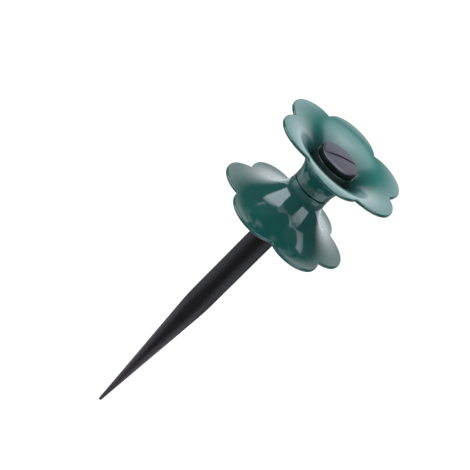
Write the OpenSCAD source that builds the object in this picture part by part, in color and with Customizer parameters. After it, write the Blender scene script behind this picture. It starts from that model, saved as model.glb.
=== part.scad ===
// Hose guide stake: a pointed stake that is pushed into the soil, with a roller of two
// flower-shaped halves that turns on the stake's spindle, so that a hose runs round the
// corner of a bed. Millimetres. The origin lies on the stake's axis at the ground line,
// and +Z points up.

/* [Stake] */
// Diameter of the straight shank
shank_d = 16.2; // [14:0.1:20]
// Length of the tapered spike, from its tip to the shank
spike_len = 108; // [80:1:140]
// Radius of the blunt tip
tip_r = 1.1; // [0.6:0.1:2.5]
// Radius of the blend between the spike and the shank
taper_blend_r = 240; // [50:10:400]
// Depth of the tip below the ground line
bury_depth = 180; // [145:1:220]
// Height of the shoulder under the roller, above the ground line
shoulder_h = 20.2; // [10:0.1:60]

/* [Spindle] */
// Diameter of the spindle that the roller turns on
spindle_d = 12; // [9:0.5:13]
// Radial running clearance of the roller on the spindle
running_clearance = 0.08; // [0.02:0.01:0.1]
// End play of the roller, at the shoulder and at the cap
end_play = 0.3; // [0.2:0.05:0.6]

/* [Flowers] */
// Number of petals on each flower
petals = 6; // [5:1:8]
// Diameter over the petal tips
flower_d = 90; // [80:1:110]
// Depth of the notches between the petals
notch_depth = 8.2; // [4:0.1:10]
// Radius at the root of each notch
notch_r = 0.8; // [0.4:0.1:1.5]
// Outer diameter of the neck
neck_d = 25.6; // [22:0.1:30]
// Straight length of the neck
neck_len = 1.28; // [0.8:0.02:4]
// Radius of the tight throat curve above the neck
throat_r = 19.2; // [14:0.1:24]
// Radius of the wide flare that follows it and ends level
flare_r = 32; // [26:0.5:40]
// Run over rise of the wall where the throat passes into the flare
throat_slope = 0.75; // [0.5:0.05:1.2]
// Wall thickness of a flower
wall = 2; // [1.2:0.1:3]
// Rounding of the neck's end and of the boss's edge
edge_r = 0.5; // [0.2:0.1:0.7]
// Gap between the two necks
seam_gap = 0.6; // [0.3:0.1:1.2]
// Turn of the upper flower, from +X to a petal's middle
roller_turn = 37.5; // [0:0.5:60]

/* [Hub] */
// Outer diameter of the boss inside a flower
boss_d = 28; // [24:0.5:32]
// Height of the boss's end above the neck end
boss_h = 21.3; // [18:0.1:24]
// Thickness of the boss's end plate
boss_plate = 2.4; // [1.5:0.1:4]
// Wall of the bearing sleeve
sleeve_wall = 2.2; // [1.5:0.1:3]
// Height of the dogs that lock one flower to the other
dog_h = 3; // [2:0.1:5]
// Clearance at each side of a dog
dog_clearance = 0.2; // [0.1:0.05:0.5]

/* [Cap] */
// Diameter of the cap's head
cap_d = 26.6; // [20:0.1:30]
// Height of the cap's head at its middle
cap_h = 4.9; // [3.8:0.1:8]
// Radius of the crown over the head
crown_r = 75; // [50:1:150]
// Rounding of the head's upper edge
cap_round = 2; // [0.5:0.1:2.4]
// Width of the coin slot across the head
slot_w = 1.8; // [1:0.1:4]
// Depth of the coin slot at the head's middle
slot_depth = 1.8; // [0.8:0.1:2.5]
// Turn of the coin slot from +X
slot_turn = 42; // [0:1:180]
// Diameter of the cap's screw stem
stem_d = 6; // [4:0.5:7]
// Length of the cap's screw stem
stem_len = 14; // [8:1:25]
// Radial clearance of the stem in the spindle
stem_clearance = 0.1; // [0.05:0.05:0.2]

/* [Hidden] */
$fn = 96;

// Radii
shank_r = shank_d / 2;
spindle_r = spindle_d / 2;
bore_r = spindle_r + running_clearance;
sleeve_r = bore_r + sleeve_wall;
flower_r = flower_d / 2;
neck_r = neck_d / 2;
boss_r = boss_d / 2;
cap_r = cap_d / 2;
stem_r = stem_d / 2;

// Heights along the axis, stacked up from the shoulder
tip_z = -bury_depth;
shank_z = tip_z + spike_len;
lower_neck_z = shoulder_h + end_play + boss_h;
upper_neck_z = lower_neck_z + seam_gap;
cap_z = upper_neck_z + boss_h + end_play;

// Depth of the spindle's screw hole past the end of the stem
stem_room = 1;

// How far a cutting shape runs past the face that it cuts
trim = 1;

// Spike: its straight side leans by spike_lean and touches the round tip
tip_reach = spike_len - tip_r;
spike_lean = acos(tip_r / norm([shank_r, tip_reach])) - atan(tip_reach / shank_r);
blend_reach = taper_blend_r * tan(spike_lean / 2);
arc_steps = 8;

// Wall: two arcs that meet with a common tangent. The throat starts upright at the neck, and
// the flare ends level at the rim.
throat_angle = atan(throat_slope);
flower_h = neck_len + throat_r * sin(throat_angle) + flare_r * (1 - sin(throat_angle)) + wall;

// Petals: equal circles that touch the tip circle and cross at the notches
half_pitch = 180 / petals;
notch_root = flower_r - notch_depth;
petal_centre = (pow(flower_r, 2) - pow(notch_root, 2)) / (2 * (flower_r - notch_root * cos(half_pitch)));
petal_r = flower_r - petal_centre;
fillet_centre = petal_centre * cos(half_pitch)
    + sqrt(pow(petal_r + notch_r, 2) - pow(petal_centre * sin(half_pitch), 2));

// Cap: the round edge meets the crown with a common tangent
edge_centre_r = cap_r - cap_round;
crown_centre_z = cap_h - crown_r;
edge_centre_z = crown_centre_z + sqrt(pow(crown_r - cap_round, 2) - pow(edge_centre_r, 2));
edge_turn = acos(edge_centre_r / (crown_r - cap_round));

// The lower flower is the same moulding turned over. Its dogs drop between the upper
// flower's dogs after a quarter turn, which staggers the petals.
dog_turn = 90;

// A point at a radius and an angle from a centre
function polar(r, a) = [r * cos(a), r * sin(a)];

// Points of an arc round a centre, with or without the first one
function arc(centre, r, from, to, first = 0) =
    [for (i = [first:arc_steps]) centre + polar(r, from + (to - from) * i / arc_steps)];

// Half section of the stake: round tip, spike, blend, shank, shoulder and spindle
module stake_section() {
    tip_arc = arc([0, tip_z + tip_r], tip_r, -90, -spike_lean);
    blend_arc = arc([shank_r - taper_blend_r, shank_z + blend_reach], taper_blend_r, -spike_lean, 0);
    polygon(concat(
        tip_arc,
        blend_arc,
        [[shank_r, shoulder_h], [spindle_r, shoulder_h], [spindle_r, cap_z], [0, cap_z]]
    ));
}

module stake() {
    color("#26262a")
    difference() {
        rotate_extrude() stake_section();
        translate([0, 0, cap_z - stem_len - stem_room])
            cylinder(r = stem_r + stem_clearance, h = stem_len + stem_room + trim);
    }
}

// A straight run of a flower's wall along +Y, with its outer face on X = 0, and what follows it
module run(length) {
    translate([-wall, 0]) square([wall, length]);
    translate([0, length]) children();
}

// A bend of the wall to the right, from its outer face's radius, and what follows it
module bend(r, turn) {
    reach = 2 * (r + wall);
    translate([r, 0]) {
        intersection() {
            difference() {
                circle(r = r + wall);
                circle(r = r);
            }
            translate([-reach, 0]) square(reach);
            rotate(-turn) translate([-reach, -reach]) square(reach);
        }
        rotate(-turn) translate([-r, 0]) children();
    }
}

// What a rounding of radius r takes off an outer edge of a half section.
// side is 1 where the section lies above the edge and -1 where it lies below.
module outer_corner(edge, r, side) {
    translate(edge)
    difference() {
        translate([-r, -r]) square(2 * r);
        translate([-r, side * r]) circle(r = r);
    }
}

// Half section of a flower's wall: neck, throat, flare and a level brim that the petals trim
module flower_wall() {
    translate([neck_r, 0])
    difference() {
        run(neck_len) bend(throat_r, throat_angle) bend(flare_r, 90 - throat_angle) run(flower_r);
        outer_corner([0, 0], edge_r, 1);
    }
}

// Plan of the petals, the first on +X, with a rounded notch between neighbours
module petal_plan() {
    notch = polar(fillet_centre, half_pitch);
    circle(r = petal_centre);
    for (i = [0:petals - 1])
        rotate(2 * half_pitch * i) {
            translate([petal_centre, 0]) circle(r = petal_r);
            difference() {
                polygon([polar(petal_centre, 0), notch, polar(petal_centre, 2 * half_pitch)]);
                translate(notch) circle(r = notch_r);
            }
        }
}

// Half section of the hub: bearing sleeve, end plate and the boss that stands on the throat
module hub_section() {
    translate([bore_r, dog_h]) square([sleeve_wall, boss_h - dog_h]);
    difference() {
        union() {
            translate([bore_r, boss_h - boss_plate]) square([boss_r - bore_r, boss_plate]);
            translate([boss_r - wall, 0]) square([wall, boss_h]);
        }
        translate([neck_r + throat_r, neck_len]) circle(r = throat_r + wall / 2);
        outer_corner([boss_r, boss_h], edge_r, -1);
    }
}

// Two dogs on the sleeve's end, a quarter turn wide less their clearance
module dogs() {
    apex = dog_clearance * sqrt(2);
    reach = 2 * sleeve_r;
    for (side = [0, 180])
        rotate(side)
        translate([0, 0, -dog_h])
        linear_extrude(height = 2 * dog_h)
        intersection() {
            difference() {
                circle(r = sleeve_r);
                circle(r = bore_r);
            }
            polygon([[apex, 0], [apex + reach, reach], [apex + reach, -reach]]);
        }
}

// One flower, with its neck end at the origin and its rim above
module flower() {
    color("#1c5a52") {
        intersection() {
            rotate_extrude() {
                flower_wall();
                hub_section();
            }
            translate([0, 0, -trim]) linear_extrude(height = flower_h + 2 * trim) petal_plan();
        }
        dogs();
    }
}

module upper_flower() {
    translate([0, 0, upper_neck_z]) rotate(roller_turn) flower();
}

module lower_flower() {
    translate([0, 0, lower_neck_z]) rotate(roller_turn + dog_turn) rotate([180, 0, 0]) flower();
}

// Half section of the cap: a crowned, round-edged head on a plain stem
module cap_section() {
    edge_arc = arc([edge_centre_r, edge_centre_z], cap_round, 0, edge_turn);
    crown_arc = arc([0, crown_centre_z], crown_r, edge_turn, 90, first = 1);
    polygon(concat(
        [[0, -stem_len], [stem_r, -stem_len], [stem_r, 0], [cap_r, 0]],
        edge_arc,
        crown_arc
    ));
}

module screw_cap() {
    color("#2b2a2e")
    translate([0, 0, cap_z])
    difference() {
        rotate_extrude() cap_section();
        translate([0, 0, cap_h - slot_depth])
            rotate(slot_turn)
            translate([-cap_r - trim, -slot_w / 2, 0])
            cube([2 * (cap_r + trim), slot_w, slot_depth + trim]);
    }
}

stake();
lower_flower();
upper_flower();
screw_cap();
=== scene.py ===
"""Looks of the hose guide stake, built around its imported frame. Metres, +Z up, ground line at Z = 0."""
import logging
import math
from dataclasses import dataclass, field, replace
from enum import Enum

import bpy
from mathutils import Matrix, Vector


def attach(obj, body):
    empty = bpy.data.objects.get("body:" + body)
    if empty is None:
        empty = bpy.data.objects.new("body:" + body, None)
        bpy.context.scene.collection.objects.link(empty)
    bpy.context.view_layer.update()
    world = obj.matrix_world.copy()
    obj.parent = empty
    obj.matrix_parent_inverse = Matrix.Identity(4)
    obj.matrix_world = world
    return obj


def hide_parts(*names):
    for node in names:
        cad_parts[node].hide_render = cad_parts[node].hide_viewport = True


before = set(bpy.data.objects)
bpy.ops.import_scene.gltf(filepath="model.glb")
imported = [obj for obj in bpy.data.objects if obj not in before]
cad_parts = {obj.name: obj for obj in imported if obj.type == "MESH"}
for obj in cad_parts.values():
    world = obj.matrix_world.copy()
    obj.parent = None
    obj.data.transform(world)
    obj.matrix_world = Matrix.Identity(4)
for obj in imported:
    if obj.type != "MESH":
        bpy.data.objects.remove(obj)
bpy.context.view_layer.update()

log = logging.getLogger("hose_guide")
MM = 0.001

# Radius and height, azimuth and elevation, distance and factor, first end and second end
Point = tuple[float, float]
Heading = tuple[float, float]
Stop = tuple[float, float]
Span = tuple[float, float]
Colour = tuple[float, float, float]

# Points of a turned piece that lie closer than this become one
MERGE = 0.004 * MM

# Light of the lamps, and of the small ones on the floor that the black stake mirrors
COOL_WHITE: Colour = (0.86, 0.93, 1.0)
LILAC: Colour = (0.98, 0.92, 1.0)


class Opening(Enum):
    """The way a flower opens along the stake."""

    UP = 1
    DOWN = -1


def start_clean() -> None:
    """Leave edit mode and select nothing."""
    if bpy.context.object and bpy.context.object.mode != "OBJECT":
        bpy.ops.object.mode_set(mode="OBJECT")
    bpy.ops.object.select_all(action="DESELECT")


def pick(*objects: bpy.types.Object) -> None:
    """Select only these objects and make the first one active.

    Args:
        objects: The objects to select.
    """
    start_clean()
    for item in objects:
        item.select_set(True)
    bpy.context.view_layer.objects.active = objects[0]


def arc(centre: Point, radius: float, start: float, end: float, steps: int) -> list[Point]:
    """Points of an arc in a half section.

    Args:
        centre: Radius and height of the arc's centre.
        radius: The arc's radius.
        start: First angle in degrees, from the outward direction.
        end: Last angle in degrees.
        steps: Number of steps between the two.

    Returns:
        The points, both ends included.
    """
    points = []
    for i in range(steps + 1):
        angle = math.radians(start + (end - start) * i / steps)
        points.append((centre[0] + radius * math.cos(angle), centre[1] + radius * math.sin(angle)))
    return points


def turned(name: str, section: list[Point], steps: int = 128) -> bpy.types.Object:
    """Spin a half section round the stake's axis.

    Args:
        name: Name of the new object.
        section: Radius and height of each point of the closed section.
        steps: Number of steps in the full turn.

    Returns:
        The turned object, with outward normals.
    """
    start_clean()
    bpy.ops.mesh.primitive_circle_add(vertices=len(section))
    piece = bpy.context.object
    piece.name = name
    for vertex, (radius, height) in zip(piece.data.vertices, section):
        vertex.co = (radius, 0.0, height)
    bpy.ops.object.mode_set(mode="EDIT")
    bpy.ops.mesh.select_all(action="SELECT")
    bpy.ops.mesh.spin(steps=steps, angle=math.tau, center=(0, 0, 0), axis=(0, 0, 1))
    bpy.ops.mesh.select_all(action="SELECT")
    bpy.ops.mesh.remove_doubles(threshold=MERGE)
    bpy.ops.mesh.delete_loose()
    bpy.ops.mesh.select_all(action="SELECT")
    bpy.ops.mesh.normals_make_consistent(inside=False)
    bpy.ops.object.mode_set(mode="OBJECT")
    return piece


def smooth(piece: bpy.types.Object, degrees: float) -> None:
    """Shade a piece smooth, with edges sharper than the angle kept sharp."""
    pick(piece)
    bpy.ops.object.shade_smooth_by_angle(angle=math.radians(degrees))


@dataclass(frozen=True)
class Finish:
    """A moulded plastic with fine mottling in its colour, gloss and surface.

    dark and light are the ends of its colour, and rough_low and rough_high those of its roughness. grain is
    the fineness of its bumps, grain_depth their depth, and stretch scales the pattern along the stake. sheen
    tints the gloss. deepen gives two distances from the stake's axis, each with a factor for the colour:
    painted shade darkens the colour near the axis, and painted light brightens it further out.
    """

    name: str
    dark: Colour
    light: Colour
    rough_low: float
    rough_high: float
    grain: float
    grain_depth: float
    stretch: float = 1.0
    specular: float = 0.5
    coat: float = 0.0
    coat_rough: float = 0.05
    ior: float = 1.5
    sheen: Colour = (1.0, 1.0, 1.0)
    # Painted shade near the stake's axis and painted light further out, as factors on the colour
    painted_shade_and_light: tuple[Stop, Stop] | None = None
    cloud_scale: float = 55.0
    cloud_detail: float = 4.0
    cloud_range: Span = (0.3, 0.7)
    grain_detail: float = 3.0

    def material(self) -> bpy.types.Material:
        """Build the node material.

        Returns:
            A procedural material on object coordinates.
        """
        made = bpy.data.materials.new(self.name)
        made.use_nodes = True
        nodes = made.node_tree.nodes
        links = made.node_tree.links
        shader = nodes["Principled BSDF"]
        shader.inputs["Specular IOR Level"].default_value = self.specular
        shader.inputs["Specular Tint"].default_value = (*self.sheen, 1.0)
        shader.inputs["IOR"].default_value = self.ior
        shader.inputs["Coat Weight"].default_value = self.coat
        shader.inputs["Coat Roughness"].default_value = self.coat_rough
        place = nodes.new("ShaderNodeTexCoord")
        squeeze = nodes.new("ShaderNodeMapping")
        squeeze.inputs["Scale"].default_value = (1.0, 1.0, self.stretch)
        links.new(place.outputs["Object"], squeeze.inputs["Vector"])

        clouds = nodes.new("ShaderNodeTexNoise")
        clouds.inputs["Scale"].default_value = self.cloud_scale
        clouds.inputs["Detail"].default_value = self.cloud_detail
        links.new(squeeze.outputs["Vector"], clouds.inputs["Vector"])
        tint = nodes.new("ShaderNodeValToRGB")
        tint.color_ramp.elements[0].position = self.cloud_range[0]
        tint.color_ramp.elements[0].color = (*self.dark, 1.0)
        tint.color_ramp.elements[1].position = self.cloud_range[1]
        tint.color_ramp.elements[1].color = (*self.light, 1.0)
        links.new(clouds.outputs["Fac"], tint.inputs["Fac"])
        links.new(tint.outputs["Color"], shader.inputs["Base Color"])
        if self.painted_shade_and_light:
            self.paint_shade_and_light(made, place, tint)

        gloss = nodes.new("ShaderNodeMapRange")
        gloss.inputs["From Min"].default_value = self.cloud_range[0]
        gloss.inputs["From Max"].default_value = self.cloud_range[1]
        gloss.inputs["To Min"].default_value = self.rough_low
        gloss.inputs["To Max"].default_value = self.rough_high
        links.new(clouds.outputs["Fac"], gloss.inputs["Value"])
        links.new(gloss.outputs["Result"], shader.inputs["Roughness"])

        grain = nodes.new("ShaderNodeTexNoise")
        grain.inputs["Scale"].default_value = self.grain
        grain.inputs["Detail"].default_value = self.grain_detail
        links.new(squeeze.outputs["Vector"], grain.inputs["Vector"])
        bump = nodes.new("ShaderNodeBump")
        bump.inputs["Strength"].default_value = 1.0
        bump.inputs["Distance"].default_value = self.grain_depth
        links.new(grain.outputs["Fac"], bump.inputs["Height"])
        links.new(bump.outputs["Normal"], shader.inputs["Normal"])
        return made

    def paint_shade_and_light(self, made: bpy.types.Material, place: bpy.types.Node, tint: bpy.types.Node) -> None:
        """Scale the colour by the distance from the stake's axis.

        Args:
            made: The material.
            place: Its texture coordinates.
            tint: The node that gives its colour.
        """
        nodes = made.node_tree.nodes
        links = made.node_tree.links
        # Painted shade: the colour is darkened near the axis; painted light: it is brightened further out.
        (near, near_factor), (far, far_factor) = self.painted_shade_and_light
        level = nodes.new("ShaderNodeMapping")
        level.inputs["Scale"].default_value = (1.0, 1.0, 0.0)
        links.new(place.outputs["Object"], level.inputs["Vector"])
        away = nodes.new("ShaderNodeVectorMath")
        away.operation = "LENGTH"
        links.new(level.outputs["Vector"], away.inputs[0])
        factor = nodes.new("ShaderNodeMapRange")
        factor.inputs["From Min"].default_value = near
        factor.inputs["From Max"].default_value = far
        factor.inputs["To Min"].default_value = near_factor
        factor.inputs["To Max"].default_value = far_factor
        links.new(away.outputs["Value"], factor.inputs["Value"])
        scaled = nodes.new("ShaderNodeVectorMath")
        scaled.operation = "SCALE"
        links.new(tint.outputs["Color"], scaled.inputs[0])
        links.new(factor.outputs["Result"], scaled.inputs["Scale"])
        links.new(scaled.outputs["Vector"], nodes["Principled BSDF"].inputs["Base Color"])


GREEN = Finish(
    name="flower_green",
    dark=(0.012, 0.100, 0.084),
    light=(0.014, 0.112, 0.094),
    rough_low=0.10,
    rough_high=0.14,
    grain=900.0,
    grain_depth=0.004 * MM,
    specular=1.0,
    coat=1.0,
)
# The inner face, rougher, with painted shade in the throat and painted light towards the rim
INNER_GREEN_PAINTED_SHADE_AND_LIGHT = replace(
    GREEN,
    name="inner_green_painted_shade_and_light",
    rough_low=0.17,
    rough_high=0.22,
    coat_rough=0.16,
    painted_shade_and_light=((15.0 * MM, 0.4), (29.0 * MM, 1.66)),
)
# A darker copy of the flower's green for the hub of the same moulding: painted shade under the cap
HUB_GREEN_PAINTED_SHADE = Finish(
    name="hub_green_painted_shade",
    dark=(0.004, 0.018, 0.017),
    light=(0.006, 0.024, 0.022),
    rough_low=0.10,
    rough_high=0.14,
    grain=900.0,
    grain_depth=0.004 * MM,
    specular=0.7,
)
BLACK = Finish(
    name="stake_black",
    dark=(0.0012, 0.0010, 0.0017),
    light=(0.0022, 0.0018, 0.0029),
    rough_low=0.25,
    rough_high=0.35,
    grain=900.0,
    grain_depth=0.16 * MM,
    stretch=0.4,
    specular=0.7,
    sheen=(1.0, 0.93, 1.0),
)
CAP_BLACK = Finish(
    name="cap_black",
    dark=(0.008, 0.005, 0.009),
    light=(0.013, 0.009, 0.015),
    rough_low=0.38,
    rough_high=0.48,
    grain=800.0,
    grain_depth=0.12 * MM,
    specular=1.0,
    ior=1.88,
    sheen=(0.89, 0.86, 1.0),
)
# A darker, duller copy of the cap's finish for its side: painted shade
CAP_SIDE_PAINTED_SHADE = Finish(
    name="cap_side_painted_shade",
    dark=(0.0020, 0.0025, 0.0040),
    light=(0.0035, 0.0045, 0.0065),
    rough_low=0.44,
    rough_high=0.54,
    grain=800.0,
    grain_depth=0.12 * MM,
    specular=0.35,
)


@dataclass(frozen=True)
class Wall:
    """Half section of a flower's wall, with the neck end at height 0."""

    neck_r: float = 12.8 * MM
    neck_len: float = 1.28 * MM
    throat_r: float = 19.2 * MM
    flare_r: float = 32.0 * MM
    slope: float = 0.75
    thick: float = 2.0 * MM

    @property
    def lean(self) -> float:
        """Angle at which the throat passes into the flare, in radians."""
        return math.atan(self.slope)

    @property
    def throat_centre(self) -> Point:
        """Centre of the throat's curve."""
        return (self.neck_r + self.throat_r, self.neck_len)

    @property
    def flare_centre(self) -> Point:
        """Centre of the flare's curve."""
        step = self.flare_r - self.throat_r
        return (
            self.throat_centre[0] + step * math.cos(self.lean),
            self.throat_centre[1] - step * math.sin(self.lean),
        )

    def length(self, radius: float, depth: float) -> float:
        """Length of a face of the wall, from the top of the straight neck out to a radius.

        Args:
            radius: Where the run ends.
            depth: 0 for the outer face, the wall's thickness for the inner one.

        Returns:
            The length along the face.
        """
        throat = (self.throat_r + depth) * self.lean
        reach = self.flare_centre[0] - radius
        if reach <= 0.0:
            return throat + (self.flare_r + depth) * (math.pi / 2 - self.lean) - reach
        return throat + (self.flare_r + depth) * (math.acos(reach / (self.flare_r + depth)) - self.lean)

    def point(self, length: float, depth: float) -> Point:
        """The point of a face at a length from the top of the straight neck.

        Args:
            length: Length along the face.
            depth: 0 for the outer face, the wall's thickness for the inner one.

        Returns:
            Radius and height of the point.
        """
        throat = (self.throat_r + depth) * self.lean
        flare = (self.flare_r + depth) * (math.pi / 2 - self.lean)
        if length <= throat:
            centre, radius = self.throat_centre, self.throat_r + depth
            angle = length / radius
        else:
            centre, radius = self.flare_centre, self.flare_r + depth
            angle = self.lean + min(length - throat, flare) / radius
        brim = max(length - throat - flare, 0.0)
        return (centre[0] - radius * math.cos(angle) + brim, centre[1] + radius * math.sin(angle))


@dataclass(frozen=True)
class Petals:
    """Plan of a flower's rim: equal round petals with a small round notch between neighbours."""

    count: int = 6
    tip_r: float = 45.0 * MM
    notch_depth: float = 8.2 * MM
    notch_r: float = 0.8 * MM
    petal_steps: int = 36
    notch_steps: int = 6

    @property
    def points_round(self) -> int:
        """Number of points round the rim."""
        return self.count * (self.petal_steps + self.notch_steps)

    def plan(self, inset: float) -> list[tuple[Vector, Vector]]:
        """Points round the rim, the first petal on +X.

        Args:
            inset: How far inside the rim the points lie.

        Returns:
            For each point, its place and the outward direction there.
        """
        half = math.pi / self.count
        root = self.tip_r - self.notch_depth
        centre = (self.tip_r**2 - root**2) / (2 * (self.tip_r - root * math.cos(half)))
        petal_r = self.tip_r - centre
        across = centre * math.sin(half)
        notch = centre * math.cos(half) + math.sqrt((petal_r + self.notch_r) ** 2 - across**2)
        notch_at = Vector((notch * math.cos(half), notch * math.sin(half)))
        to_notch = notch_at - Vector((centre, 0.0))
        swing = math.atan2(to_notch.y, to_notch.x)
        points: list[tuple[Vector, Vector]] = []
        for i in range(self.count):
            turn = Matrix.Rotation(2 * half * i, 2)
            for k in range(self.petal_steps):
                angle = swing * (2 * k / self.petal_steps - 1)
                out = Vector((math.cos(angle), math.sin(angle)))
                points.append((turn @ (Vector((centre, 0.0)) + out * (petal_r - inset)), turn @ out))
            for k in range(self.notch_steps):
                angle = swing + math.pi - (2 * (swing - half)) * k / self.notch_steps
                into = Vector((math.cos(angle), math.sin(angle)))
                points.append((turn @ (notch_at + into * (self.notch_r + inset)), turn @ -into))
        return points


@dataclass
class Flower:
    """One trumpet-shaped flower of the roller, with the hub inside it.

    Apart from neck_z, heights are measured from the neck's end. Edges sharper than crease degrees stay sharp.
    """

    node: str
    neck_z: float
    turn: float
    opening: Opening
    wall: Wall = field(default_factory=Wall)
    petals: Petals = field(default_factory=Petals)
    rim_round: float = 0.7 * MM
    neck_round: float = 0.5 * MM
    bore_r: float = 6.08 * MM
    sleeve_r: float = 8.28 * MM
    boss_r: float = 14.0 * MM
    boss_h: float = 21.3 * MM
    boss_foot: float = 9.0 * MM
    boss_plate: float = 2.4 * MM
    sleeve_foot: float = 3.0 * MM
    wall_steps: int = 46
    round_steps: int = 5
    crease: float = 40.0

    def build(
        self, outer: bpy.types.Material, inner: bpy.types.Material, hub_finish: bpy.types.Material
    ) -> bpy.types.Object:
        """Model the flower and put it in its place.

        Args:
            outer: The finish of the trumpet's outer face and rim.
            inner: The finish of its inner face, with painted shade in the throat and painted light towards
                the rim.
            hub_finish: The finish of the hub, a darker copy of the flower's green: painted shade under the
                cap.

        Returns:
            The finished piece, which rides on the roller.
        """
        trumpet = self.trumpet()
        trumpet.data.materials.append(outer)
        trumpet.data.materials.append(inner)
        self.line(trumpet)
        hub = self.hub()
        hub.data.materials.append(hub_finish)
        pick(trumpet, hub)
        bpy.ops.object.join()
        flower = bpy.context.object
        flower.name = self.node + "_moulding"
        place = Matrix.Translation((0, 0, self.neck_z)) @ Matrix.Rotation(math.radians(self.turn), 4, "Z")
        if self.opening is Opening.DOWN:
            place = place @ Matrix.Rotation(math.pi, 4, "X")
        flower.data.transform(place)
        smooth(flower, self.crease)
        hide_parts(self.node)
        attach(flower, "roller")
        return flower

    def section(self, inner: Vector, out: Vector) -> list[Vector]:
        """The closed section of the wall at one point of the rim.

        Args:
            inner: The rim's point in plan, less the rim's rounding.
            out: The outward direction there.

        Returns:
            The section's points, up the outer face, round the rim and down the inner face.
        """
        wall = self.wall
        ray = inner.normalized()
        reach = inner.length
        loop: list[Vector] = []

        def add(radius: float, height: float) -> None:
            """Add a point on the ray from the axis to the rim's point."""
            loop.append(Vector((ray.x * radius, ray.y * radius, height)))

        lip = (wall.neck_r - self.neck_round, self.neck_round)
        for radius, height in arc(lip, self.neck_round, -90.0, 0.0, self.round_steps):
            add(radius, height)
        outer = wall.length(reach, 0.0)
        for i in range(self.wall_steps + 1):
            add(*wall.point(outer * i / self.wall_steps, 0.0))
        low = loop.pop().z
        full = wall.length(reach, wall.thick)
        high = wall.point(full, wall.thick)[1]
        for base, start in ((low + self.rim_round, -90.0), (high - self.rim_round, 0.0)):
            for reach_out, lift in arc((0.0, base), self.rim_round, start, start + 90.0, self.round_steps):
                edge = inner + out * reach_out
                loop.append(Vector((edge.x, edge.y, lift)))
        for i in range(1, self.wall_steps + 1):
            add(*wall.point(full * (1 - i / self.wall_steps), wall.thick))
        add(wall.neck_r - wall.thick, 0.0)
        return loop

    def trumpet(self) -> bpy.types.Object:
        """Wrap a ring's mesh round the wall's sections, one for each point of the rim.

        Returns:
            The trumpet, with its neck end at the origin.
        """
        loops = [self.section(place, out) for place, out in self.petals.plan(self.rim_round)]
        start_clean()
        bpy.ops.mesh.primitive_torus_add(
            major_segments=len(loops),
            minor_segments=len(loops[0]),
            major_radius=self.petals.tip_r,
            minor_radius=self.wall.thick,
        )
        trumpet = bpy.context.object
        flat = [value for loop in loops for point in loop for value in point]
        trumpet.data.vertices.foreach_set("co", flat)
        trumpet.data.update()
        bpy.ops.object.mode_set(mode="EDIT")
        bpy.ops.mesh.select_all(action="SELECT")
        bpy.ops.mesh.normals_make_consistent(inside=False)
        bpy.ops.object.mode_set(mode="OBJECT")
        return trumpet

    def line(self, trumpet: bpy.types.Object) -> None:
        """Give the trumpet's inner face the second finish.

        Args:
            trumpet: The trumpet, whose faces run along each section in turn.
        """
        around = len(trumpet.data.vertices) // self.petals.points_round
        foot = around - 1
        rim = foot - (self.wall_steps + 1)
        for face in trumpet.data.polygons:
            if rim <= face.index % around < foot:
                face.material_index = 1

    def hub(self) -> bpy.types.Object:
        """Turn the bearing sleeve, end plate and boss.

        Returns:
            The hub, with its foot inside the trumpet's wall.
        """
        edge = self.neck_round
        plate = self.boss_h - self.boss_plate
        rim = (self.boss_r - edge, self.boss_h - edge)
        section = [(self.bore_r, self.sleeve_foot), (self.bore_r, self.boss_h)]
        section += [*reversed(arc(rim, edge, 0.0, 90.0, self.round_steps))]
        section += [
            (self.boss_r, self.boss_foot),
            (self.boss_r - self.wall.thick, self.boss_foot - self.wall.thick),
            (self.boss_r - self.wall.thick, plate),
            (self.sleeve_r, plate),
            (self.sleeve_r, self.sleeve_foot),
        ]
        return turned(self.node + "_hub", section)


@dataclass
class Stake:
    """The pointed stake with the roller's spindle on top. Edges sharper than crease degrees stay sharp."""

    shank_r: float = 8.1 * MM
    spike_len: float = 108.0 * MM
    tip_r: float = 1.1 * MM
    blend_r: float = 240.0 * MM
    tip_z: float = -180.0 * MM
    shoulder_z: float = 20.2 * MM
    spindle_r: float = 6.0 * MM
    spindle_end: float = 64.0 * MM
    edge: float = 0.4 * MM
    tip_steps: int = 8
    blend_steps: int = 16
    edge_steps: int = 4
    crease: float = 30.0

    def build(self, material: bpy.types.Material) -> bpy.types.Object:
        """Turn the stake.

        Args:
            material: The stake's finish.

        Returns:
            The finished piece.
        """
        reach = self.spike_len - self.tip_r
        lean = math.acos(self.tip_r / math.hypot(self.shank_r, reach)) - math.atan(reach / self.shank_r)
        blend_z = self.tip_z + self.spike_len + self.blend_r * math.tan(lean / 2)
        tip = (0.0, self.tip_z + self.tip_r)
        section = arc(tip, self.tip_r, -90.0, -math.degrees(lean), self.tip_steps)
        blend = (self.shank_r - self.blend_r, blend_z)
        section += arc(blend, self.blend_r, -math.degrees(lean), 0.0, self.blend_steps)
        shoulder = (self.shank_r - self.edge, self.shoulder_z - self.edge)
        section += arc(shoulder, self.edge, 0.0, 90.0, self.edge_steps)
        section += [
            (self.spindle_r, self.shoulder_z),
            (self.spindle_r, self.spindle_end),
            (0.0, self.spindle_end),
        ]
        stake = turned("stake_moulding", section)
        smooth(stake, self.crease)
        stake.data.materials.append(material)
        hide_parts("stake")
        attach(stake, "stake")
        return stake


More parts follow.
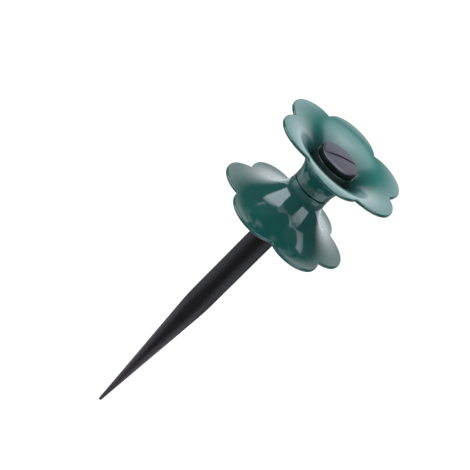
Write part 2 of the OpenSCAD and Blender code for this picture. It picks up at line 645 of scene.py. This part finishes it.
@dataclass
class ScrewCap:
    """The slotted cap that keeps the roller on the spindle.

    bar_len is the length of the bar that cuts the slot. soften rounds the edges sharper than soften_from
    degrees, and edges sharper than crease degrees are shaded sharp. Faces by the rounded edge whose normal
    rises less than top_lean take the side's finish, a darker, duller copy of the crown's: painted shade.
    """

    foot_z: float = 64.0 * MM
    radius: float = 13.3 * MM
    height: float = 4.9 * MM
    crown_r: float = 75.0 * MM
    top_round: float = 2.0 * MM
    foot_round: float = 0.3 * MM
    stem_r: float = 3.0 * MM
    stem_len: float = 14.0 * MM
    slot_w: float = 1.8 * MM
    slot_depth: float = 1.2 * MM
    turn: float = 42.0
    bar_len: float = 39.9 * MM
    soften: float = 0.2 * MM
    soften_from: float = 60.0
    soften_steps: int = 3
    foot_steps: int = 3
    round_steps: int = 12
    crown_steps: int = 12
    top_lean: float = 0.6
    crease: float = 35.0

    def section(self) -> list[Point]:
        """Half section of the stem and the crowned, round-edged head.

        Returns:
            Radius and height of each point.
        """
        points = [(0.0, self.foot_z - self.stem_len), (self.stem_r, self.foot_z - self.stem_len)]
        points += [(self.stem_r, self.foot_z)]
        foot = (self.radius - self.foot_round, self.foot_z + self.foot_round)
        points += arc(foot, self.foot_round, -90.0, 0.0, self.foot_steps)
        crown_z = self.foot_z + self.height - self.crown_r
        edge_r = self.radius - self.top_round
        reach = self.crown_r - self.top_round
        edge_z = crown_z + math.sqrt(reach**2 - edge_r**2)
        meet = math.degrees(math.acos(edge_r / reach))
        points += arc((edge_r, edge_z), self.top_round, 0.0, meet, self.round_steps)
        points += arc((0.0, crown_z), self.crown_r, meet, 90.0, self.crown_steps)[1:-1]
        points += [(0.0, self.foot_z + self.height)]
        return points

    def build(self, top: bpy.types.Material, side: bpy.types.Material) -> bpy.types.Object:
        """Turn the head and stem, cut the slot and soften its edges.

        Args:
            top: The finish of the crown.
            side: The darker, duller finish of its side: painted shade.

        Returns:
            The finished piece.
        """
        cap = turned("screw_cap_moulding", self.section())
        self.cut(cap, self.cutter())
        pick(cap)
        bpy.ops.object.modifier_add(type="BEVEL")
        bevel = cap.modifiers[-1]
        bevel.width = self.soften
        bevel.segments = self.soften_steps
        bevel.limit_method = "ANGLE"
        bevel.angle_limit = math.radians(self.soften_from)
        bpy.ops.object.modifier_apply(modifier=bevel.name)
        smooth(cap, self.crease)
        cap.data.materials.append(top)
        cap.data.materials.append(side)
        # The side takes the darker, duller finish: painted shade.
        for face in cap.data.polygons:
            if face.normal.z < self.top_lean and face.center.xy.length > self.radius - self.top_round:
                face.material_index = 1
        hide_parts("screw_cap")
        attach(cap, "stake")
        return cap

    def cutter(self) -> bpy.types.Object:
        """A bar for the coin slot.

        Returns:
            The bar, which reaches past the cap's edge and above its crown.
        """
        start_clean()
        bpy.ops.mesh.primitive_cube_add(
            size=1.0,
            location=(0.0, 0.0, self.foot_z + self.height),
            rotation=(0.0, 0.0, math.radians(self.turn)),
            scale=(self.bar_len, self.slot_w, 2 * self.slot_depth),
        )
        bpy.ops.object.transform_apply(location=True, rotation=True, scale=True)
        return bpy.context.object

    def cut(self, cap: bpy.types.Object, block: bpy.types.Object) -> None:
        """Take a block out of the cap, then delete the block.

        Args:
            cap: The cap.
            block: The block to take out.
        """
        pick(cap)
        bpy.ops.object.modifier_add(type="BOOLEAN")
        boolean = cap.modifiers[-1]
        boolean.operation = "DIFFERENCE"
        boolean.solver = "EXACT"
        boolean.object = block
        bpy.ops.object.modifier_apply(modifier=boolean.name)
        pick(block)
        bpy.ops.object.delete()


def bearing(azimuth: float, elevation: float) -> Vector:
    """Direction from the object.

    Args:
        azimuth: Degrees round the stake, with 0 towards the camera and 90 to its right.
        elevation: Degrees above the horizon.

    Returns:
        The direction, of length 1.
    """
    turn = math.radians(azimuth)
    lift = math.radians(elevation)
    return Vector((math.sin(turn) * math.cos(lift), -math.cos(turn) * math.cos(lift), math.sin(lift)))


@dataclass(frozen=True)
class Softbox:
    """A rectangular studio lamp.

    place is the azimuth and elevation where its centre hangs, and back those where its back points, if that
    isn't the same. level is its brightness, with a white surface in plain light at 1. fade is the share of
    its height over which it dims towards the top, to the share fade_end of its brightness. core gives shares
    of its brightness by the distance from its middle, where its width is 1. Without gloss it isn't mirrored.
    """

    name: str
    place: Heading
    distance: float
    width: float
    height: float
    level: float
    back: Heading | None = None
    roll: float = 0.0
    fade: float = 0.0
    fade_end: float = 0.0
    core: tuple[Stop, ...] = ()
    gloss: bool = True
    tint: Colour = COOL_WHITE

    def hang(self, target: Vector) -> bpy.types.Object:
        """Hang the lamp round the target.

        Args:
            target: The point that its place is measured from.

        Returns:
            The lamp.
        """
        azimuth, elevation = self.back or self.place
        back = bearing(azimuth, elevation)
        side = bearing(azimuth + 90.0, 0.0)
        up = back.cross(side)
        axes = Matrix((side, up, back)).transposed().to_4x4()
        spot = Matrix.Translation(target + bearing(*self.place) * self.distance)
        start_clean()
        bpy.ops.object.light_add(type="AREA")
        lamp = bpy.context.object
        lamp.name = self.name
        lamp.data.shape = "RECTANGLE"
        lamp.data.size = self.width
        lamp.data.size_y = self.height
        lamp.data.energy = self.level * self.width * self.height * math.pi
        lamp.matrix_world = spot @ axes @ Matrix.Rotation(math.radians(self.roll), 4, "Z")
        lamp.data.color = self.tint
        lamp.visible_camera = False
        lamp.visible_glossy = self.gloss
        if self.fade:
            self.dim_top(lamp)
        if self.core:
            self.dim_edges(lamp)
        return lamp

    def spots(self, lamp: bpy.types.Object) -> bpy.types.Node:
        """Give the lamp nodes.

        Args:
            lamp: The lamp.

        Returns:
            The node with the spot on the lamp, X across and Y up, each from 0 to 1.
        """
        lamp.data.use_nodes = True
        nodes = lamp.data.node_tree.nodes
        shape = nodes.new("ShaderNodeNewGeometry")
        split = nodes.new("ShaderNodeSeparateXYZ")
        lamp.data.node_tree.links.new(shape.outputs["Parametric"], split.inputs["Vector"])
        return split

    def dim_top(self, lamp: bpy.types.Object) -> None:
        """Dim the lamp's light towards its upper edge.

        Args:
            lamp: The lamp.
        """
        split = self.spots(lamp)
        nodes = lamp.data.node_tree.nodes
        links = lamp.data.node_tree.links
        dim = nodes.new("ShaderNodeMapRange")
        dim.inputs["From Min"].default_value = 1.0 - self.fade
        dim.inputs["From Max"].default_value = 1.0
        dim.inputs["To Min"].default_value = 1.0
        dim.inputs["To Max"].default_value = self.fade_end
        links.new(split.outputs["Y"], dim.inputs["Value"])
        links.new(dim.outputs["Result"], nodes["Emission"].inputs["Strength"])

    def dim_edges(self, lamp: bpy.types.Object) -> None:
        """Let the lamp's light fall off from its middle.

        Args:
            lamp: The lamp.
        """
        split = self.spots(lamp)
        nodes = lamp.data.node_tree.nodes
        links = lamp.data.node_tree.links
        flat = nodes.new("ShaderNodeCombineXYZ")
        links.new(split.outputs["X"], flat.inputs["X"])
        links.new(split.outputs["Y"], flat.inputs["Y"])
        middle = (0.5, 0.5, 0.0)
        away = nodes.new("ShaderNodeVectorMath")
        away.operation = "DISTANCE"
        away.inputs[1].default_value = middle
        links.new(flat.outputs["Vector"], away.inputs[0])
        tone = nodes.new("ShaderNodeValToRGB")
        stops = tone.color_ramp.elements
        stops[0].position = self.core[0][0]
        stops[1].position = self.core[-1][0]
        for distance, _ in self.core[1:-1]:
            stops.new(distance)
        for stop, (_, share) in zip(stops, self.core):
            stop.color = (share, share, share, 1.0)
        links.new(away.outputs["Value"], tone.inputs["Fac"])
        links.new(tone.outputs["Color"], nodes["Emission"].inputs["Strength"])


@dataclass
class Studio:
    """Floor, lamps and camera.

    elevation, roll and distance place the camera round its target, and aim_px shifts it, in pixels of a
    picture frame_px wide. focal_px is its focal length in the same pixels. glow is the azimuth and elevation
    of the soft light behind the object. It has the first of glow_levels within the first of glow_edges, in
    degrees, and fades to the second at the second.
    """

    floor_z: float = -180.2 * MM
    floor_size: float = 12.0
    floor_grey: float = 0.18
    floor_glow: float = 0.95
    elevation: float = 28.987
    roll: float = 44.603
    distance: float = 858.693 * MM
    focal_px: float = 1393.053
    frame_px: float = 470.0
    aim_px: tuple[float, float] = (2.687, -26.548)
    sensor: float = 36.0
    clip_start: float = 10.0 * MM
    target: Vector = field(default_factory=lambda: Vector((0.0, 0.0, -30.0 * MM)))
    lamp_target: Vector = field(default_factory=lambda: Vector((0.0, 0.0, 45.0 * MM)))
    surround: Colour = (0.92, 0.955, 1.0)
    glow: Heading = (180.0, 2.0)
    glow_edges: Span = (8.0, 43.0)
    glow_levels: Span = (1.02, 0.047)
    lamps: tuple[Softbox, ...] = (
        Softbox(
            "overhead", place=(143.5, 74.6), back=(180.0, 90.0), distance=1.037, width=1.25, height=1.25,
            level=2.58, roll=-41.0,
            core=(
                (0.0, 1.0), (0.06, 0.95), (0.2, 0.61), (0.32, 0.5), (0.44, 0.39), (0.56, 0.31), (0.7, 0.28),
            ),
        ),
        Softbox(
            "left", place=(-72.7, 32.6), back=(-78.8, 22.5), distance=1.082, width=0.994, height=1.07,
            level=2.35, roll=11.6, fade=0.19, fade_end=0.36,
        ),
        Softbox(
            "right", place=(51.6, 39.9), back=(57.6, 6.7), distance=1.087, width=0.728, height=1.157,
            level=1.5, roll=-1.4, fade=0.62,
        ),
        Softbox("front_haze", place=(0.0, 61.5), distance=1.2, width=1.6, height=0.31, level=0.4),
        Softbox("low_fill", place=(-10.0, -8.0), distance=1.2, width=1.4, height=0.3, level=1.0, gloss=False),
        Softbox(
            "left_fill", place=(-70.0, -10.0), distance=0.5, width=0.6, height=0.26, level=1.5, gloss=False,
        ),
        Softbox(
            "right_fill", place=(70.0, -10.0), distance=0.5, width=0.6, height=0.26, level=1.5, gloss=False,
        ),
        Softbox("top_fill", place=(0.0, 74.0), distance=1.2, width=1.0, height=1.0, level=1.05, gloss=False),
        Softbox(
            "back_fill", place=(-155.0, 45.0), distance=1.2, width=1.4, height=0.8, level=1.5, gloss=False,
        ),
        Softbox(
            "left_bounce", place=(-82.0, -28.0), back=(-82.0, -90.0), distance=0.479, width=0.4, height=0.5,
            level=0.38,
        ),
        Softbox(
            "left_strip", place=(-95.0, -66.0), back=(-95.0, -90.0), distance=0.246, width=0.13, height=0.14,
            level=0.42, tint=LILAC,
        ),
        Softbox(
            "right_bounce", place=(76.0, -28.0), back=(76.0, -90.0), distance=0.479, width=0.4, height=0.5,
            level=0.42,
        ),
        Softbox(
            "right_strip", place=(88.0, -66.0), back=(88.0, -90.0), distance=0.246, width=0.13, height=0.14,
            level=0.46, tint=LILAC,
        ),
        Softbox(
            "tip_glow", place=(0.0, -90.0), distance=0.2251, width=0.15, height=0.15, level=0.6, tint=LILAC,
            core=(
                (0.0, 1.0), (0.1, 1.0), (0.167, 0.92), (0.24, 0.52), (0.31, 0.3), (0.38, 0.15), (0.48, 0.02),
            ),
        ),
        Softbox(
            "back_bounce", place=(-178.0, -3.9), back=(180.0, -90.0), distance=3.278, width=4.0, height=5.54,
            level=0.85,
        ),
    )

    def build(self) -> None:
        """Set the whole stage."""
        self.floor()
        for lamp in self.lamps:
            lamp.hang(self.lamp_target)
        self.world()
        self.camera()

    def floor(self) -> None:
        """A plain grey floor, with a glow for the camera alone that makes it look white."""
        start_clean()
        bpy.ops.mesh.primitive_plane_add(size=self.floor_size, location=(0, 0, self.floor_z))
        plane = bpy.context.object
        plane.name = "floor"
        made = bpy.data.materials.new("floor_white")
        made.use_nodes = True
        nodes = made.node_tree.nodes
        links = made.node_tree.links
        shader = nodes["Principled BSDF"]
        shader.inputs["Base Color"].default_value = (self.floor_grey, self.floor_grey, self.floor_grey, 1.0)
        shader.inputs["Roughness"].default_value = 1.0
        shader.inputs["Specular IOR Level"].default_value = 0.0
        glow = nodes.new("ShaderNodeEmission")
        glow.inputs["Color"].default_value = (1.0, 1.0, 1.0, 1.0)
        glow.inputs["Strength"].default_value = self.floor_glow
        both = nodes.new("ShaderNodeAddShader")
        links.new(shader.outputs["BSDF"], both.inputs[0])
        links.new(glow.outputs["Emission"], both.inputs[1])
        seen = nodes.new("ShaderNodeLightPath")
        mix = nodes.new("ShaderNodeMixShader")
        links.new(seen.outputs["Is Camera Ray"], mix.inputs[0])
        links.new(shader.outputs["BSDF"], mix.inputs[1])
        links.new(both.outputs["Shader"], mix.inputs[2])
        links.new(mix.outputs["Shader"], nodes["Material Output"].inputs["Surface"])
        plane.data.materials.append(made)

    def world(self) -> None:
        """A dim surround with a soft glow behind the object, and plain white where the camera sees it."""
        world = bpy.data.worlds.new("surround")
        world.use_nodes = True
        nodes = world.node_tree.nodes
        links = world.node_tree.links
        ground = nodes["Background"]
        ground.inputs["Color"].default_value = (*self.surround, 1.0)
        place = nodes.new("ShaderNodeTexCoord")
        facing = nodes.new("ShaderNodeVectorMath")
        facing.operation = "DOT_PRODUCT"
        facing.inputs[1].default_value = bearing(*self.glow)
        links.new(place.outputs["Generated"], facing.inputs[0])
        level = nodes.new("ShaderNodeMapRange")
        level.inputs["From Min"].default_value = math.cos(math.radians(self.glow_edges[1]))
        level.inputs["From Max"].default_value = math.cos(math.radians(self.glow_edges[0]))
        level.inputs["To Min"].default_value = self.glow_levels[1]
        level.inputs["To Max"].default_value = self.glow_levels[0]
        links.new(facing.outputs["Value"], level.inputs["Value"])
        links.new(level.outputs["Result"], ground.inputs["Strength"])
        white = nodes.new("ShaderNodeBackground")
        white.inputs["Color"].default_value = (1.0, 1.0, 1.0, 1.0)
        seen = nodes.new("ShaderNodeLightPath")
        mix = nodes.new("ShaderNodeMixShader")
        links.new(seen.outputs["Is Camera Ray"], mix.inputs[0])
        links.new(ground.outputs["Background"], mix.inputs[1])
        links.new(white.outputs["Background"], mix.inputs[2])
        links.new(mix.outputs["Shader"], nodes["World Output"].inputs["Surface"])
        bpy.context.scene.world = world

    def camera(self) -> None:
        """The photo's viewpoint, tilted down and rolled about the line of sight."""
        lift = math.radians(self.elevation)
        back = Vector((0.0, -math.cos(lift), math.sin(lift)))
        right = Vector((1.0, 0.0, 0.0))
        up = back.cross(right)
        turn = math.radians(self.roll)
        right_rolled = right * math.cos(turn) + up * math.sin(turn)
        up_rolled = up * math.cos(turn) - right * math.sin(turn)
        scale = self.distance / self.focal_px
        place = self.target + back * self.distance
        place -= right_rolled * self.aim_px[0] * scale + up_rolled * self.aim_px[1] * scale
        start_clean()
        bpy.ops.object.camera_add()
        camera = bpy.context.object
        axes = Matrix((right_rolled, up_rolled, back)).transposed().to_4x4()
        camera.matrix_world = Matrix.Translation(place) @ axes
        camera.data.sensor_width = self.sensor
        camera.data.lens = self.focal_px / self.frame_px * self.sensor
        camera.data.clip_start = self.clip_start
        bpy.context.scene.camera = camera


def main() -> None:
    """Build every piece, then the stage, and log each piece's face count."""
    logging.basicConfig(level=logging.INFO, format="%(message)s")
    green = GREEN.material()
    inner_green_painted_shade_and_light = INNER_GREEN_PAINTED_SHADE_AND_LIGHT.material()
    hub_green_painted_shade = HUB_GREEN_PAINTED_SHADE.material()
    lower = Flower(node="lower_flower", neck_z=41.8 * MM, turn=127.5, opening=Opening.DOWN)
    upper = Flower(node="upper_flower", neck_z=42.4 * MM, turn=37.5, opening=Opening.UP)
    pieces = [
        Stake().build(BLACK.material()),
        lower.build(green, inner_green_painted_shade_and_light, hub_green_painted_shade),
        upper.build(green, inner_green_painted_shade_and_light, hub_green_painted_shade),
        ScrewCap().build(CAP_BLACK.material(), CAP_SIDE_PAINTED_SHADE.material()),
    ]
    for piece in pieces:
        log.info("%s: %d faces", piece.name, len(piece.data.polygons))
    Studio().build()
    bpy.context.scene.view_settings.view_transform = "Standard"


if __name__ == "__main__":
    main()
